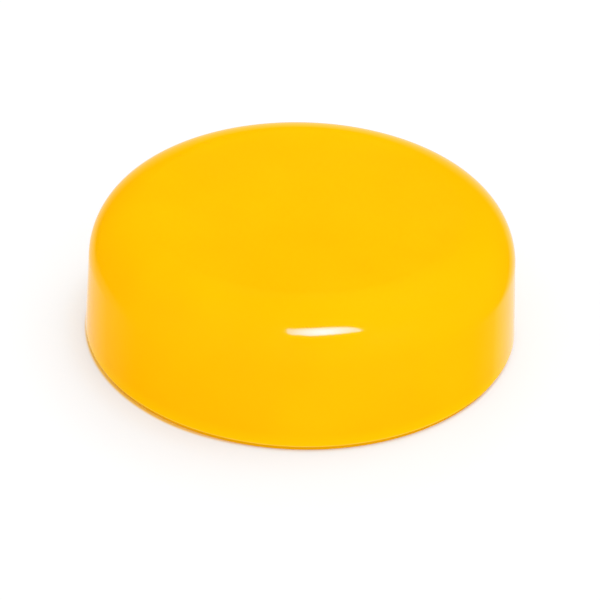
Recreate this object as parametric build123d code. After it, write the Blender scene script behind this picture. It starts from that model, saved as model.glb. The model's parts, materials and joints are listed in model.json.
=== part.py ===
from build123d import *
from math import asin, cos, degrees, radians, sin, tan
import os

# A screw-on jar lid, moulded in one piece from glossy plastic.
# It stands mouth down: the origin is the centre of the foot ring, +Z is up, sizes are in millimetres.
# Every feature is round about Z, so the whole lid is one section turned once about that axis.

# Jar neck that the lid is made for
neck_thread_diameter = 69.4
neck_thread_depth = 1.4
neck_wall = 2.9
neck_depth = 17.6
neck_clearance = 0.4

# Walls, each at its thinnest
skirt_wall = 1.4
panel_wall = 1.8

# Outside
overall_height = 23.4
skirt_draft = 4.2
edge_radius = 9.3
dish_depth = 0.9

# Stepped lip at the foot, where the two halves of the mould part
lip_height = 0.9
lip_recess = 0.45
edge_break = 0.1

# Mouth, flared to lead the neck in
lead_in_height = 1.2
lead_in_flare = 0.6

# Two seal rings, which press on the jar's rim
seal_ring_spacing = 1.5
seal_tip_width = 0.7
seal_tip_break = 0.2
seal_draft = 3.0

# Gate mark, in the middle of the underside
gate_well_diameter = 7.0
gate_well_depth = 0.3
gate_stub_diameter = 1.8
gate_stub_height = 0.4

# Worked out from the sizes above
bore_radius = neck_thread_diameter / 2 + neck_clearance
rim_middle_radius = neck_thread_diameter / 2 - neck_thread_depth - neck_wall / 2
round_height = overall_height - edge_radius
inner_edge_radius = edge_radius - panel_wall
underside_height = overall_height - dish_depth - panel_wall


def rounded_dish(centre, radius, start_angle):
    """Edge round about centre, and the dish that leaves it without a crease and sinks to the axis."""
    # the dish is part of a large ball, and its lowest point is dish_depth below the top of the round
    reach = (centre.X**2 + dish_depth**2) / (2 * dish_depth)
    slope = degrees(asin(centre.X / reach))
    ball_centre = (0, centre.Y + reach - dish_depth)
    edge = CenterArc(centre, radius, start_angle, 90 + slope - start_angle)
    dish = CenterArc(ball_centre, reach - radius, 270, slope)
    return edge, dish


def outside_half():
    """Half of the outer shape, filled in to the axis."""
    draft = radians(skirt_draft)
    centre = Vector(bore_radius + skirt_wall - edge_radius, round_height)
    wall_top = centre + Vector(cos(draft), sin(draft)) * edge_radius
    skirt_radius = wall_top.X + (wall_top.Y - lip_height) * tan(draft)
    lip_radius = skirt_radius - lip_recess
    edge, dish = rounded_dish(centre, edge_radius, skirt_draft)
    foot = Polyline(
        (0, 0), (lip_radius, 0), (lip_radius, lip_height), (skirt_radius, lip_height), wall_top
    )
    face = make_face(foot + edge + dish + Line(dish @ 0, (0, 0)))
    lip_corner = face.vertices().group_by(Axis.Y)[0].sort_by(Axis.X)[-1]
    skirt_corner = face.vertices().sort_by(Axis.X)[-1]
    return chamfer([lip_corner, skirt_corner], edge_break)


def inside_half():
    """Half of the space inside: the flared mouth, the bore for the thread, and the domed end."""
    centre = Vector(bore_radius - inner_edge_radius, round_height)
    edge, dish = rounded_dish(centre, inner_edge_radius, 0)
    wall = Polyline(
        (0, 0), (bore_radius + lead_in_flare, 0), (bore_radius, lead_in_height), edge @ 0
    )
    return make_face(wall + edge + dish + Line(dish @ 0, (0, 0)))


def seal_ring_half(radius):
    """One seal ring, drafted on both sides from its tip, and carried up through the panel."""
    tip = seal_tip_width / 2
    root = tip + (overall_height - neck_depth) * tan(radians(seal_draft))
    ring = make_face(
        Polyline(
            (radius - tip, neck_depth),
            (radius + tip, neck_depth),
            (radius + root, overall_height),
            (radius - root, overall_height),
            close=True,
        )
    )
    return chamfer(ring.vertices().group_by(Axis.Y)[0], seal_tip_break)


def middle_half(diameter, low, high):
    """Half of a plain round feature in the middle, between two heights."""
    return Pos(diameter / 4, (low + high) / 2) * Rectangle(diameter / 2, high - low)


def lid():
    """The whole lid, turned from its section."""
    well_floor = underside_height + gate_well_depth
    space = inside_half() + middle_half(gate_well_diameter, neck_depth, well_floor)
    space -= middle_half(gate_stub_diameter, well_floor - gate_stub_height, well_floor)
    for side in (-1, 1):
        space -= seal_ring_half(rim_middle_radius + side * seal_ring_spacing / 2)
    section = outside_half() - space
    return revolve(Plane.XZ * section, Axis.Z)


os.makedirs("parts", exist_ok=True)
part = lid()
part.label = "lid"
export_step(part, "parts/lid.step")
size = part.bounding_box().size
print(f"foot {size.X:.2f} mm across, {size.Z:.2f} mm high, {part.volume:.0f} cubic millimetres")
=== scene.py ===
import json
from math import asin, atan2, ceil, cos, pi, radians, sin, tan

import bpy
from mathutils import Matrix, Vector


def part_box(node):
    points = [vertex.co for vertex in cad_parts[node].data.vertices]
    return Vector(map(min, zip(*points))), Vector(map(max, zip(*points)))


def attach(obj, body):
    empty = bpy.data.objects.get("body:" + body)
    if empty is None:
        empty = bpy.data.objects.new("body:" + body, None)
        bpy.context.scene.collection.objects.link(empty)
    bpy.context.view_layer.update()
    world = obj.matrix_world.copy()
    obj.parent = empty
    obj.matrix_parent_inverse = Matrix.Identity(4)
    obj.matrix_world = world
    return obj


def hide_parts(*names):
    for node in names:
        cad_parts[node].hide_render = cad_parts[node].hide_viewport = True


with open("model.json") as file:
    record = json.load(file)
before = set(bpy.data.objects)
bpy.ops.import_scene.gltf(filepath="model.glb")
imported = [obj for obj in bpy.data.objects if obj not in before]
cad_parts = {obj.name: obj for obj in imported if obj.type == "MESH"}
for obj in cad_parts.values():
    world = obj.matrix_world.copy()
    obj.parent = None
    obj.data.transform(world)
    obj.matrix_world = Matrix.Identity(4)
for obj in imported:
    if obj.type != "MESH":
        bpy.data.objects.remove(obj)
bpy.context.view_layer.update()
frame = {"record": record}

# The lid
# One injection-moulded piece of glossy golden polypropylene: skirt, large rounded edge and dished top,
# with the bore, the flared mouth, two seal rings and the gate mark inside. Everything is round about Z,
# so half a section is drawn, with the small rounds that a mould leaves, and turned about that axis.
mounts = {mount["name"]: mount for mount in frame["record"]["mounts"]}
lid_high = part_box("lid")[1]
overall_height = lid_high.z
bore_radius = mounts["jar_thread"]["dims"]["r_mm"] / 1000
neck_clearance = 0.0004
neck_thread_depth = 0.0014
neck_wall = 0.0029
neck_depth = 0.0176

skirt_wall = 0.0014
panel_wall = 0.0018
skirt_draft = radians(4.2)
edge_radius = 0.0093
dish_depth = 0.0009
lip_height = 0.0009
lip_recess = 0.00045
lead_in_height = 0.0012
lead_in_flare = 0.0006
seal_ring_spacing = 0.0015
seal_tip_width = 0.0007
seal_draft = radians(3)
gate_well_radius = 0.0035
gate_well_depth = 0.0003
gate_stub_radius = 0.0009
gate_stub_height = 0.0004

# How far each small round reaches along its two sides from the corner that it takes off
skirt_round = 0.00013
ledge_round = 0.00006
foot_round = 0.0001
mouth_round = 0.00015
bore_round = 0.0003
ring_round = 0.0002
well_mouth_round = 0.0001
well_floor_round = 0.00008
stub_round = 0.00006

rim_middle_radius = bore_radius - neck_clearance - neck_thread_depth - neck_wall / 2
round_height = overall_height - edge_radius
round_radius = bore_radius + skirt_wall - edge_radius
inner_edge_radius = edge_radius - panel_wall
inner_round_radius = bore_radius - inner_edge_radius

run_step = 0.0008
arc_step = 0.0003
columns = 216
hub_radius = 0.01
weld_distance = 0.000001
flat_margin = 1.4


def straight(*corners):
    """Points along a straight run, close enough together for light to slide evenly over it."""
    start, end = (Vector(corner) for corner in corners)
    parts = ceil((end - start).length / run_step)
    return [start.lerp(end, i / parts) for i in range(parts + 1)]


def arc(centre, radius, start, end, step=arc_step):
    """Points along an arc about centre, from one angle to another."""
    parts = ceil(abs(end - start) * radius / step)
    angles = [start + (end - start) * i / parts for i in range(parts + 1)]
    return [Vector((centre[0] + radius * cos(a), centre[1] + radius * sin(a))) for a in angles]


def dish_ball(rim_radius, rim_round):
    """Slope at the dish's rim, and the height of the centre and the radius of the ball it is part of."""
    reach = (rim_radius**2 + dish_depth**2) / (2 * dish_depth)
    return asin(rim_radius / reach), round_height + reach - dish_depth, reach - rim_round


def shortened(run, reach):
    """The run with reach cut off its end."""
    kept = list(run)
    while (kept[-1] - kept[-2]).length < reach:
        reach -= (kept[-1] - kept[-2]).length
        kept.pop()
    kept[-1] = kept[-1] + (kept[-2] - kept[-1]).normalized() * reach
    return kept


def rounded(start, corner, end, parts=6):
    """Points of the arc that leaves start and reaches end along the two sides of the corner."""
    turn = (corner - start).angle(end - corner)
    weight = cos(turn / 2)
    points = []
    for i in range(1, parts):
        t = i / parts
        shares = (1 - t) ** 2, 2 * t * (1 - t) * weight, t**2
        points.append((shares[0] * start + shares[1] * corner + shares[2] * end) / sum(shares))
    return points


def joined(first, *rest):
    """One line through all the runs. Before each run comes the reach of the round at its first corner."""
    line = list(first)
    for reach, run in zip(rest[::2], rest[1::2]):
        if reach == 0:
            line += run[1:]
            continue
        back = run[::-1]
        start, end = shortened(line, reach)[-1], shortened(back, reach)[-1]
        bend = [start, *rounded(start, run[0], end), end]
        # a point a little further along each side keeps the flat beside the round from looking bent
        clear_reach = reach * flat_margin
        line = shortened(line, clear_reach) + bend + shortened(back, clear_reach)[::-1]
    return line


def underside(radius):
    """Height of the underside where it curves up from the bore."""
    return round_height + (inner_edge_radius**2 - (radius - inner_round_radius) ** 2) ** 0.5


def ring_side(middle, side):
    """Tip corner and root of one side of a seal ring; side is 1 towards the bore and -1 away from it."""
    half = seal_tip_width / 2
    tip = Vector((middle + side * half, neck_depth))
    root = tip.copy()
    # the drafted side and the curved underside are brought together step by step
    for _ in range(6):
        root.y = underside(root.x)
        root.x = tip.x + side * (root.y - neck_depth) * tan(seal_draft)
    return tip, root


def inner_arc(start, end):
    """Points of the round under the edge, between two points that lie on it."""
    centre = (inner_round_radius, round_height)
    angles = [atan2(point.y - round_height, point.x - inner_round_radius) for point in (start, end)]
    return arc(centre, inner_edge_radius, *angles)


def half_section():
    """Half of the section as (radius, height): out over the top, down the skirt, in under the panel."""
    slope, ball_height, ball_radius = dish_ball(round_radius, edge_radius)
    top = arc((0, ball_height), ball_radius, -pi / 2, slope - pi / 2, run_step)
    edge = arc((round_radius, round_height), edge_radius, pi / 2 + slope, skirt_draft)
    wall_top = edge[-1]
    skirt_radius = wall_top.x + (wall_top.y - lip_height) * tan(skirt_draft)
    lip_radius = skirt_radius - lip_recess

    inner_slope, inner_ball_height, inner_ball_radius = dish_ball(inner_round_radius, inner_edge_radius)
    bore_top = Vector((bore_radius, round_height))
    outer_ring = rim_middle_radius + seal_ring_spacing / 2
    inner_ring = rim_middle_radius - seal_ring_spacing / 2
    tip_a, root_a = ring_side(outer_ring, 1)
    tip_b, root_b = ring_side(outer_ring, -1)
    tip_c, root_c = ring_side(inner_ring, 1)
    tip_d, root_d = ring_side(inner_ring, -1)

    well_angle = asin(gate_well_radius / inner_ball_radius)
    panel_angles = inner_slope - pi / 2, well_angle - pi / 2
    panel = arc((0, inner_ball_height), inner_ball_radius, *panel_angles, run_step)
    last_round = Vector((inner_round_radius - inner_edge_radius * sin(inner_slope), 0))
    last_round.y = round_height + inner_edge_radius * cos(inner_slope)
    well_floor = overall_height - dish_depth - panel_wall + gate_well_depth
    stub_end = well_floor - gate_stub_height
    return joined(
        top,
        0, edge,
        0, straight(wall_top, (skirt_radius, lip_height)),
        skirt_round, straight((skirt_radius, lip_height), (lip_radius, lip_height)),
        ledge_round, straight((lip_radius, lip_height), (lip_radius, 0)),
        foot_round, straight((lip_radius, 0), (bore_radius + lead_in_flare, 0)),
        mouth_round, straight((bore_radius + lead_in_flare, 0), (bore_radius, lead_in_height)),
        bore_round, straight((bore_radius, lead_in_height), bore_top),
        0, inner_arc(bore_top, root_a),
        ring_round, straight(root_a, tip_a),
        ring_round, straight(tip_a, tip_b),
        ring_round, straight(tip_b, root_b),
        ring_round, inner_arc(root_b, root_c),
        ring_round, straight(root_c, tip_c),
        ring_round, straight(tip_c, tip_d),
        ring_round, straight(tip_d, root_d),
        ring_round, inner_arc(root_d, last_round),
        0, panel,
        well_mouth_round, straight(panel[-1], (gate_well_radius, well_floor)),
        well_floor_round, straight((gate_well_radius, well_floor), (gate_stub_radius, well_floor)),
        stub_round, straight((gate_stub_radius, well_floor), (gate_stub_radius, stub_end)),
        stub_round, straight((gate_stub_radius, stub_end), (0, stub_end)),
    )


class Wire:
    """A value that leaves a node. Python arithmetic on it adds the Math nodes."""

    def __init__(self, wiring, socket):
        self.wiring = wiring
        self.socket = socket

    def __add__(self, other):
        return self.wiring.maths("ADD", self, other)

    def __radd__(self, other):
        return self.wiring.maths("ADD", other, self)

    def __sub__(self, other):
        return self.wiring.maths("SUBTRACT", self, other)

    def __rsub__(self, other):
        return self.wiring.maths("SUBTRACT", other, self)

    def __mul__(self, other):
        return self.wiring.maths("MULTIPLY", self, other)

    def __rmul__(self, other):
        return self.wiring.maths("MULTIPLY", other, self)

    def between(self, low, high):
        """0 below low, 1 above high and a smooth step from one to the other between them."""
        values = {"Value": self, "From Min": low, "From Max": high}
        return self.wiring.node("ShaderNodeMapRange", {"interpolation_type": "SMOOTHSTEP"}, values)

    def other(self, name):
        """Another output of the same node."""
        return Wire(self.wiring, self.socket.node.outputs[name])


class Wiring:
    """A node tree as it is built up."""

    def __init__(self, tree):
        self.tree = tree
        tree.nodes.clear()

    def node(self, kind, settings={}, values={}, output=0):
        """Adds a node: its settings first, then a value or a link for each of its sockets."""
        made = self.tree.nodes.new(kind)
        for name, value in settings.items():
            setattr(made, name, value)
        for name, value in values.items():
            if isinstance(value, Wire):
                self.tree.links.new(value.socket, made.inputs[name])
            else:
                made.inputs[name].default_value = value
        return Wire(self, made.outputs[output] if made.outputs else None)

    def maths(self, operation, *values):
        return self.node("ShaderNodeMath", {"operation": operation}, dict(enumerate(values)))

    def mixed(self, share, first, second):
        """A colour between two others. Sockets 6 and 7 and output 2 are the Mix node's colours."""
        return self.node("ShaderNodeMix", {"data_type": "RGBA"}, {0: share, 6: first, 7: second}, 2)


def shape_tree(name, sizes):
    """A new Geometry Nodes tree with named inputs, given as name and socket type, and the inputs' wires."""
    tree = bpy.data.node_groups.new(name, "GeometryNodeTree")
    sizes = {"Geometry": "NodeSocketGeometry", **sizes, "Plastic": "NodeSocketMaterial"}
    for label, kind in sizes.items():
        tree.interface.new_socket(label, in_out="INPUT", socket_type=kind)
    tree.interface.new_socket("Geometry", in_out="OUTPUT", socket_type="NodeSocketGeometry")
    wiring = Wiring(tree)
    start = wiring.node("NodeGroupInput")
    return wiring, {label: start.other(label) for label in sizes}


def end_tree(wiring, mesh, plastic):
    """Ends a tree in real, smoothly shaded geometry that has its material."""
    smooth = wiring.node("GeometryNodeSetShadeSmooth", {}, {"Geometry": mesh})
    real = wiring.node("GeometryNodeRealizeInstances", {}, {"Geometry": smooth})
    finished = wiring.node("GeometryNodeSetMaterial", {}, {"Geometry": real, "Material": plastic})
    wiring.node("NodeGroupOutput", {}, {"Geometry": finished})


def shaped(name, draft, tree, values):
    """A piece whose plain mesh is what the tree makes of the draft mesh."""
    piece = bpy.data.objects.new(name, draft)
    bpy.context.scene.collection.objects.link(piece)
    modifier = piece.modifiers.new("shape", "NODES")
    modifier.node_group = tree
    for socket in tree.interface.items_tree:
        if socket.in_out == "INPUT" and socket.name in values:
            modifier[socket.identifier] = values[socket.name]
    evaluated = piece.evaluated_get(bpy.context.evaluated_depsgraph_get())
    mesh = bpy.data.meshes.new_from_object(evaluated)
    piece.modifiers.clear()
    piece.data = mesh
    return piece


def turned_tree():
    """Turns a half section, drawn as edges in the XZ plane, once about Z."""
    sizes = {"Columns": "NodeSocketInt", "Hub radius": "NodeSocketFloat", "Weld": "NodeSocketFloat"}
    w, size = shape_tree("turned", sizes)
    values = {"Resolution": size["Columns"], "Radius": size["Hub radius"]}
    hub = w.node("GeometryNodeCurvePrimitiveCircle", {}, values)
    upright = w.node("GeometryNodeSetCurveNormal", {"mode": "Z_UP"}, {"Curve": hub})
    section = w.node("GeometryNodeMeshToCurve", {}, {"Mesh": size["Geometry"]})
    inwards = w.node("ShaderNodeCombineXYZ", {}, {"X": 0 - size["Hub radius"]})
    values = {"Geometry": section, "Translation": inwards, "Rotation": (pi / 2, 0, 0)}
    laid = w.node("GeometryNodeTransform", {}, values)
    turned = w.node("GeometryNodeCurveToMesh", {}, {"Curve": upright, "Profile Curve": laid})
    closed = w.node("GeometryNodeMergeByDistance", {}, {"Geometry": turned, "Distance": size["Weld"]})
    end_tree(w, closed, size["Plastic"])
    return w.tree


def lid_plastic():
    """Glossy golden polypropylene: polished outside, satin inside, with a faint drift of colour."""
    material = bpy.data.materials.new("lid_plastic")
    material.use_nodes = True
    w = Wiring(material.node_tree)
    place = w.node("ShaderNodeTexCoord", output="Object")
    x = w.node("ShaderNodeSeparateXYZ", {}, {"Vector": place})
    y = x.other("Y")
    z = x.other("Z")
    radius = w.maths("SQRT", x * x + y * y)

    # How far a point lies from the middle of the edge round tells the outside from the inside, once the
    # sink of the dish is made up for
    beyond = w.maths("MAXIMUM", radius - (round_radius + inner_round_radius) / 2, 0)
    across = radius * (1 / round_radius)
    sink = w.maths("MAXIMUM", dish_depth - dish_depth * across * across, 0)
    above = w.maths("MAXIMUM", z + sink - round_height, 0)
    from_middle = w.maths("SQRT", beyond * beyond + above * above)
    wall_middle = edge_radius - panel_wall / 2
    blend = 0.0002
    outside = from_middle.between(wall_middle - blend, wall_middle + blend)

    # The colour drifts a little across the moulding, as pigment in a melt does
    drift = w.node("ShaderNodeTexNoise", {}, {"Vector": place, "Scale": 45, "Detail": 2, "Roughness": 0.55})
    golden = w.mixed(drift.between(0.3, 0.7), (0.985, 0.469, 0.0002, 1), (0.995, 0.493, 0.0004, 1))

    # Painted light at the foot of the skirt: a lighter band above its edge makes up for the shade of the
    # floor beside it, a painted highlight lies on the edge, and painted shade lies on the lip under the
    # ledge
    skin = (radius - bore_radius).between(0.001, 0.0016)
    # painted light: the lower skirt is made lighter where the shaded floor beside it darkens it
    painted_lift_zone = skin * (1 - z.between(lip_height, 4 * lip_height))
    # painted shade: the recessed face under the skirt's ledge is made darker, as the ledge's shade would
    # make it
    lip_painted_shade = skin * (1 - z.between(lip_height - 0.0001, lip_height + 0.00005))
    # painted highlight: a pale line along the skirt's lower edge, where its corner catches the light
    edge = skin * (1 - z.between(lip_height + 0.0001, lip_height + 0.0003))
    painted_lift = w.mixed(painted_lift_zone, golden, (1, 0.541, 0.0006, 1))
    painted_edge_highlight = w.mixed(edge, painted_lift, (1, 0.6, 0.03, 1))
    colour = w.mixed(lip_painted_shade, painted_edge_highlight, (0.82, 0.4, 0.0003, 1))

    # The polished half of the mould leaves a faint orange peel, the turned core fine rings
    ring_pitch = 0.00022
    relief_depth = 0.0000006
    peel = w.node("ShaderNodeTexNoise", {}, {"Vector": place, "Scale": 650, "Detail": 1, "Roughness": 0.4})
    rings = w.maths("SINE", radius * (2 * pi / ring_pitch))
    smear = w.node("ShaderNodeTexNoise", {}, {"Vector": place, "Scale": 120, "Detail": 3, "Roughness": 0.5})
    roughness = 0.25 - 0.2 * outside + 0.03 * smear
    height = outside * peel + (1 - outside) * (0.5 * rings + 2 * smear)
    relief = w.node("ShaderNodeBump", {}, {"Strength": 1, "Distance": relief_depth, "Height": height})
    values = {
        "Base Color": colour,
        "Roughness": roughness,
        "IOR": 1.49,
        "Normal": relief,
    }
    surface = w.node("ShaderNodeBsdfPrincipled", {}, values)
    w.node("ShaderNodeOutputMaterial", {}, {"Surface": surface})
    return material


gold = lid_plastic()
section = half_section()
draft = bpy.data.meshes.new("half_section")
edges = [(i, i + 1) for i in range(len(section) - 1)]
draft.from_pydata([(point.x, 0, point.y) for point in section], edges, [])
values = {"Columns": columns, "Hub radius": hub_radius, "Weld": weld_distance, "Plastic": gold}
lid_body = shaped("lid_body", draft, turned_tree(), values)
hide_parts("lid")
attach(lid_body, "root")

# The thread
# A right-hand ridge on the wall of the bore, moulded with the lid. It runs nearly twice round, fades
# into the wall at both ends, and takes the thread of the jar's neck below it.
thread_turns = 1.75
thread_pitch = 0.005
thread_start = 0.0029
ridge_height = 0.0011
ridge_root_width = 0.0024
ridge_crest_width = 0.001
ridge_crest_round = 0.0003
ridge_sunk = 0.0001
run_out_share = 0.05
run_out_size = 0.04


def thread_tree():
    """Sweeps a rounded ridge along a helix about Z."""
    path_sizes = ("Radius", "Start", "Pitch", "Turns")
    ridge_sizes = ("Ridge height", "Sunk", "Root width", "Crest width", "Crest round")
    floats = {label: "NodeSocketFloat" for label in path_sizes + ridge_sizes}
    sizes = {"Columns": "NodeSocketInt", **floats}
    w, size = shape_tree("thread", sizes)
    values = {
        "Resolution": size["Columns"],
        "Rotations": size["Turns"],
        "Start Radius": size["Radius"],
        "End Radius": size["Radius"],
        "Height": size["Turns"] * size["Pitch"],
        "Reverse": True,
    }
    helix = w.node("GeometryNodeCurveSpiral", {}, values)
    start = w.node("ShaderNodeCombineXYZ", {}, {"Z": size["Start"]})
    lifted = w.node("GeometryNodeTransform", {}, {"Geometry": helix, "Translation": start})
    path = w.node("GeometryNodeSetCurveNormal", {"mode": "Z_UP"}, {"Curve": lifted})

    full_height = size["Ridge height"] + size["Sunk"]
    values = {
        "Height": full_height,
        "Bottom Width": size["Root width"],
        "Top Width": size["Crest width"],
        "Offset": 0,
    }
    ridge = w.node("GeometryNodeCurvePrimitiveQuadrilateral", {"mode": "TRAPEZOID"}, values)
    values = {"Curve": ridge, "Count": 4, "Radius": size["Crest round"], "Limit Radius": True}
    soft_ridge = w.node("GeometryNodeFilletCurve", {"mode": "POLY"}, values)
    inwards = w.node("ShaderNodeCombineXYZ", {}, {"X": -0.5 * full_height})
    values = {"Geometry": soft_ridge, "Translation": inwards, "Rotation": (0, 0, pi / 2)}
    profile = w.node("GeometryNodeTransform", {}, values)

    along = w.node("GeometryNodeSplineParameter")
    rise = w.maths("MINIMUM", along, 1 - along).between(0, run_out_share)
    scale = run_out_size + (1 - run_out_size) * rise
    values = {"Curve": path, "Profile Curve": profile, "Scale": scale, "Fill Caps": True}
    end_tree(w, w.node("GeometryNodeCurveToMesh", {}, values), size["Plastic"])
    return w.tree


values = {
    "Columns": columns,
    "Radius": bore_radius + ridge_sunk,
    "Start": thread_start,
    "Pitch": thread_pitch,
    "Turns": thread_turns,
    "Ridge height": ridge_height,
    "Sunk": ridge_sunk,
    "Root width": ridge_root_width,
    "Crest width": ridge_crest_width,
    "Crest round": ridge_crest_round,
    "Plastic": gold,
}
thread = shaped("thread", bpy.data.meshes.new("thread"), thread_tree(), values)
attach(thread, "root")

# The studio
# A white floor, with a painted amber shadow beside the lid's left foot, in an even white surround, with
# three large soft lamps: the strongest stands behind on the right and lays the shadow to the left and
# front. A strip softbox above the camera gives the highlight.
floor_half = 3
foot_radius = lid_high.x - lip_recess
covered_radius = foot_radius - 0.0001
contact_reach = 0.004
painted_shadow_reach = 0.0006
pale_share = 0.6
deep_loss = 0.22


def floor_white():
    """White card, overexposed as in a product shot, so that only part of its shading is seen."""
    material = bpy.data.materials.new("floor_white")
    material.use_nodes = True
    w = Wiring(material.node_tree)

    # Painted shadow: the card right beside the lid's shaded left side is coloured amber, as a contact
    # shadow that takes the skirt's colour
    place = w.node("ShaderNodeTexCoord", output="Object")
    x = w.node("ShaderNodeSeparateXYZ", {}, {"Vector": place})
    y = x.other("Y")
    radius = w.maths("SQRT", x * x + y * y)
    beside = radius - foot_radius
    shaded = w.maths("DIVIDE", 0 - x, radius).between(0, 0.6)
    painted_shadow = shaded * (1 - (beside - painted_shadow_reach * shaded).between(-0.5 * painted_shadow_reach, 0.5 * painted_shadow_reach))
    colour = w.mixed(painted_shadow, (0.88, 0.9, 0.92, 1), (0.97, 0.69, 0.12, 1))
    card = w.node("ShaderNodeBsdfDiffuse", {}, {"Color": colour})
    white = w.node("ShaderNodeEmission", {}, {"Color": (1, 1, 1, 1), "Strength": 1})
    rays = w.node("ShaderNodeLightPath", output="Is Camera Ray")
    seen = rays + rays.other("Is Glossy Ray") + rays.other("Is Transmission Ray")

    # Right beside the lid, and most of all on that side, more of the shadow's depth shows
    nearby = w.node("ShaderNodeAmbientOcclusion", {}, {"Distance": contact_reach}, "AO").between(0.3, 0.68)
    deep = shaded * (1 - beside.between(0.0015, 0.006))
    share = (pale_share - deep_loss * deep) * nearby * (1 - painted_shadow)
    paled = w.node("ShaderNodeMixShader", {}, {0: share * seen, 1: card, 2: white})

    # From below the card is clear, and so is the round of it that the lid covers, which lets light into
    # the lid when its underside is looked at
    covered = w.maths("LESS_THAN", radius, covered_radius)
    below = w.node("ShaderNodeNewGeometry", output="Backfacing")
    clear = w.node("ShaderNodeBsdfTransparent")
    values = {0: w.maths("MAXIMUM", covered, below), 1: paled, 2: clear}
    w.node("ShaderNodeOutputMaterial", {}, {"Surface": w.node("ShaderNodeMixShader", {}, values)})
    return material


corners = [
    (-floor_half, -floor_half, 0),
    (floor_half, -floor_half, 0),
    (floor_half, floor_half, 0),
    (-floor_half, floor_half, 0),
]
floor_mesh = bpy.data.meshes.new("floor")
floor_mesh.from_pydata(corners, [], [(0, 1, 2, 3)])
floor_mesh.materials.append(floor_white())
floor = bpy.data.objects.new("floor", floor_mesh)
bpy.context.scene.collection.objects.link(floor)
floor.visible_glossy = False


def direction(azimuth, elevation):
    """Unit vector towards a place in the studio, in degrees; the camera stands at azimuth -90."""
    a, e = radians(azimuth), radians(elevation)
    return Vector((cos(e) * cos(a), cos(e) * sin(a), sin(e)))


def surround():
    """A soft white surround. In gloss it is an amber room with a bright floor behind the lid."""
    world = bpy.data.worlds.new("surround")
    world.use_nodes = True
    w = Wiring(world.node_tree)
    way = w.node("ShaderNodeTexCoord", output="Generated")
    x = w.node("ShaderNodeSeparateXYZ", {}, {"Vector": way})
    y = x.other("Y")
    z = x.other("Z")
    low = 0 - z

    # Behind the lid the floor shines brightest low down, and fades to both sides, sooner on the left.
    # Two fainter patches lie further round, the one on the left higher up
    aside = w.maths("ARCTAN2", w.maths("ABSOLUTE", x), y)
    fading = w.maths("MAXIMUM", 0.54 - 1.03 * aside + low, 0.003) * (1 + 0.5 * x)
    left = 0.14 * (0 - x).between(0.2, 0.6) * low.between(0.18, 0.36) * (1 - aside.between(0.9, 1.6))
    right = 0.12 * x.between(0.2, 0.6) * low.between(0.38, 0.52) * (1 - aside.between(0.9, 1.4))
    behind = (fading + left + right) * (1 - z.between(0.28, 0.43))
    anywhere = w.maths("MAXIMUM", behind, low.between(0.68, 0.8))

    # What is bright is white, what is dark is amber
    blue = w.maths("MINIMUM", anywhere, 0.55 + 0.45 * low.between(0.35, 0.55))
    lit = blue.between(-0.02, 0.22)
    values = {"Red": 0.6 + 0.4 * lit, "Green": 0.3 + 0.26 * lit + 0.45 * blue, "Blue": blue}
    room = w.node("ShaderNodeCombineColor", {}, values)

    # All else gets an even white, a little weaker from behind, and the camera sees plain white
    rays = w.node("ShaderNodeLightPath", output="Is Camera Ray")
    soft = 1 - 0.3 * y
    even = w.node("ShaderNodeCombineColor", {}, {"Red": soft, "Green": soft, "Blue": soft})
    light = w.mixed(rays.other("Is Glossy Ray"), even, room)
    colour = w.mixed(w.maths("MAXIMUM", rays, rays.other("Is Transmission Ray")), light, (1, 1, 1, 1))
    backdrop = w.node("ShaderNodeBackground", {}, {"Color": colour})
    w.node("ShaderNodeOutputWorld", {}, {"Surface": backdrop})
    return world


bpy.context.scene.world = surround()

lamp_distance = 1.0
lamp_width = 0.45


def soft_lamp(name, azimuth, elevation, power):
    """A large square lamp aimed at the lid, which the gloss doesn't show."""
    light = bpy.data.lights.new(name, "AREA")
    light.shape = "SQUARE"
    light.size = lamp_width
    light.energy = power
    lamp = bpy.data.objects.new(name, light)
    way = direction(azimuth, elevation)
    lamp.location = way * lamp_distance
    lamp.rotation_mode = "QUATERNION"
    lamp.rotation_quaternion = way.to_track_quat("Z", "Y")
    lamp.visible_glossy = False
    bpy.context.scene.collection.objects.link(lamp)


soft_lamp("key_lamp", 35, 60, 1.73)
soft_lamp("side_lamp", -45, 25, 0.69)
soft_lamp("back_lamp", 90, 40, 1.11)

# The softbox faces the place on the edge round where the highlight lies, and has the highlight's outline
glint = Vector((0.0036, -0.0336, 0.0206))
box_distance = 0.7
box_strength = 25
box_way = direction(-75.5, 51)
box_outline = [
    (-0.16, 0.138), (0.01, 0.15), (0.07, 0.146), (0.145, 0.12), (0.188, 0.07), (0.222, -0.02),
    (0.2, -0.032), (0.09, -0.038), (-0.02, -0.047), (-0.06, -0.045), (-0.165, -0.013), (-0.18, 0.03),
]


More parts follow.
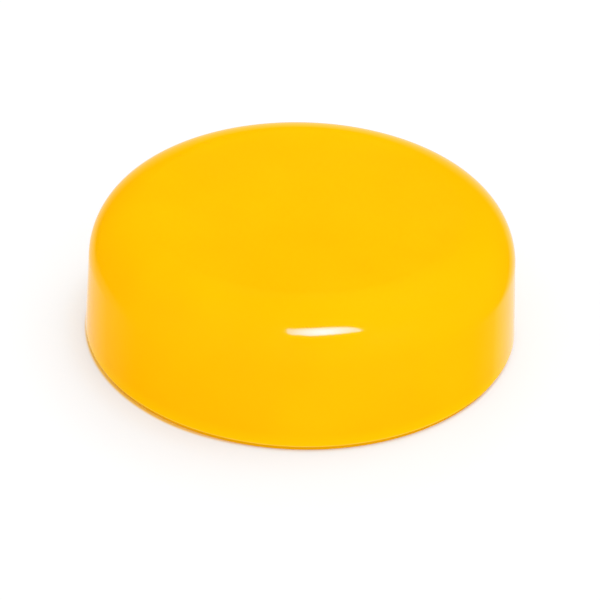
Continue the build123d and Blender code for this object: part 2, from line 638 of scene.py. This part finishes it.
def softbox_glow():
    """Cloth of the softbox, brightest in front of its lamp and fading towards the frame.

    It is short of green, so that with the gold under it the highlight comes out white.
    """
    material = bpy.data.materials.new("softbox_glow")
    material.use_nodes = True
    w = Wiring(material.node_tree)
    place = w.node("ShaderNodeTexCoord", output="Object")
    values = {"Vector": place, "Location": (-0.04, -0.27, 0), "Scale": (4.2, 7.1, 0)}
    centred = w.node("ShaderNodeMapping", {}, values)
    away = w.node("ShaderNodeVectorMath", {"operation": "LENGTH"}, {0: centred}, "Value")
    colour = w.mixed(away.between(0, 1), (1, 0.46, 0.97, 1), (0.32, 0.15, 0.31, 1))
    glow = w.node("ShaderNodeEmission", {}, {"Color": colour, "Strength": box_strength})
    w.node("ShaderNodeOutputMaterial", {}, {"Surface": glow})
    return material


box_mesh = bpy.data.meshes.new("softbox")
box_corners = [(across, rise, 0) for across, rise in box_outline]
box_mesh.from_pydata(box_corners, [], [range(len(box_corners))])
box_mesh.materials.append(softbox_glow())
softbox = bpy.data.objects.new("softbox", box_mesh)
across = Vector((0, 0, 1)).cross(box_way).normalized()
box_turn = Matrix((across, box_way.cross(across), box_way)).transposed()
softbox.matrix_world = Matrix.Translation(glint + box_way * box_distance) @ box_turn.to_4x4()
bpy.context.scene.collection.objects.link(softbox)
softbox.visible_camera = False
softbox.visible_diffuse = False
softbox.visible_shadow = False

# The camera
# It looks down on the lid from the front with a long lens, turned a little about its own axis.
camera_distance = 0.33415
camera_elevation = radians(34.168)
camera_target = Vector((-0.000167, 0, 0.004137))
camera_roll = radians(1.597)

lens = bpy.data.cameras.new("camera")
lens.lens = 114
lens.sensor_width = 36
lens.clip_start = 0.01
lens.clip_end = 20
camera = bpy.data.objects.new("camera", lens)
bpy.context.scene.collection.objects.link(camera)
stand = Vector((0, -camera_distance * cos(camera_elevation), camera_distance * sin(camera_elevation)))
forward = (camera_target - stand).normalized()
level_right = forward.cross(Vector((0, 0, 1))).normalized()
level_up = level_right.cross(forward)
right = cos(camera_roll) * level_right + sin(camera_roll) * level_up
up = cos(camera_roll) * level_up - sin(camera_roll) * level_right
turn = Matrix((right, up, -forward)).transposed()
camera.matrix_world = Matrix.Translation(stand) @ turn.to_4x4()
bpy.context.scene.camera = camera
bpy.context.scene.view_settings.view_transform = "Standard"
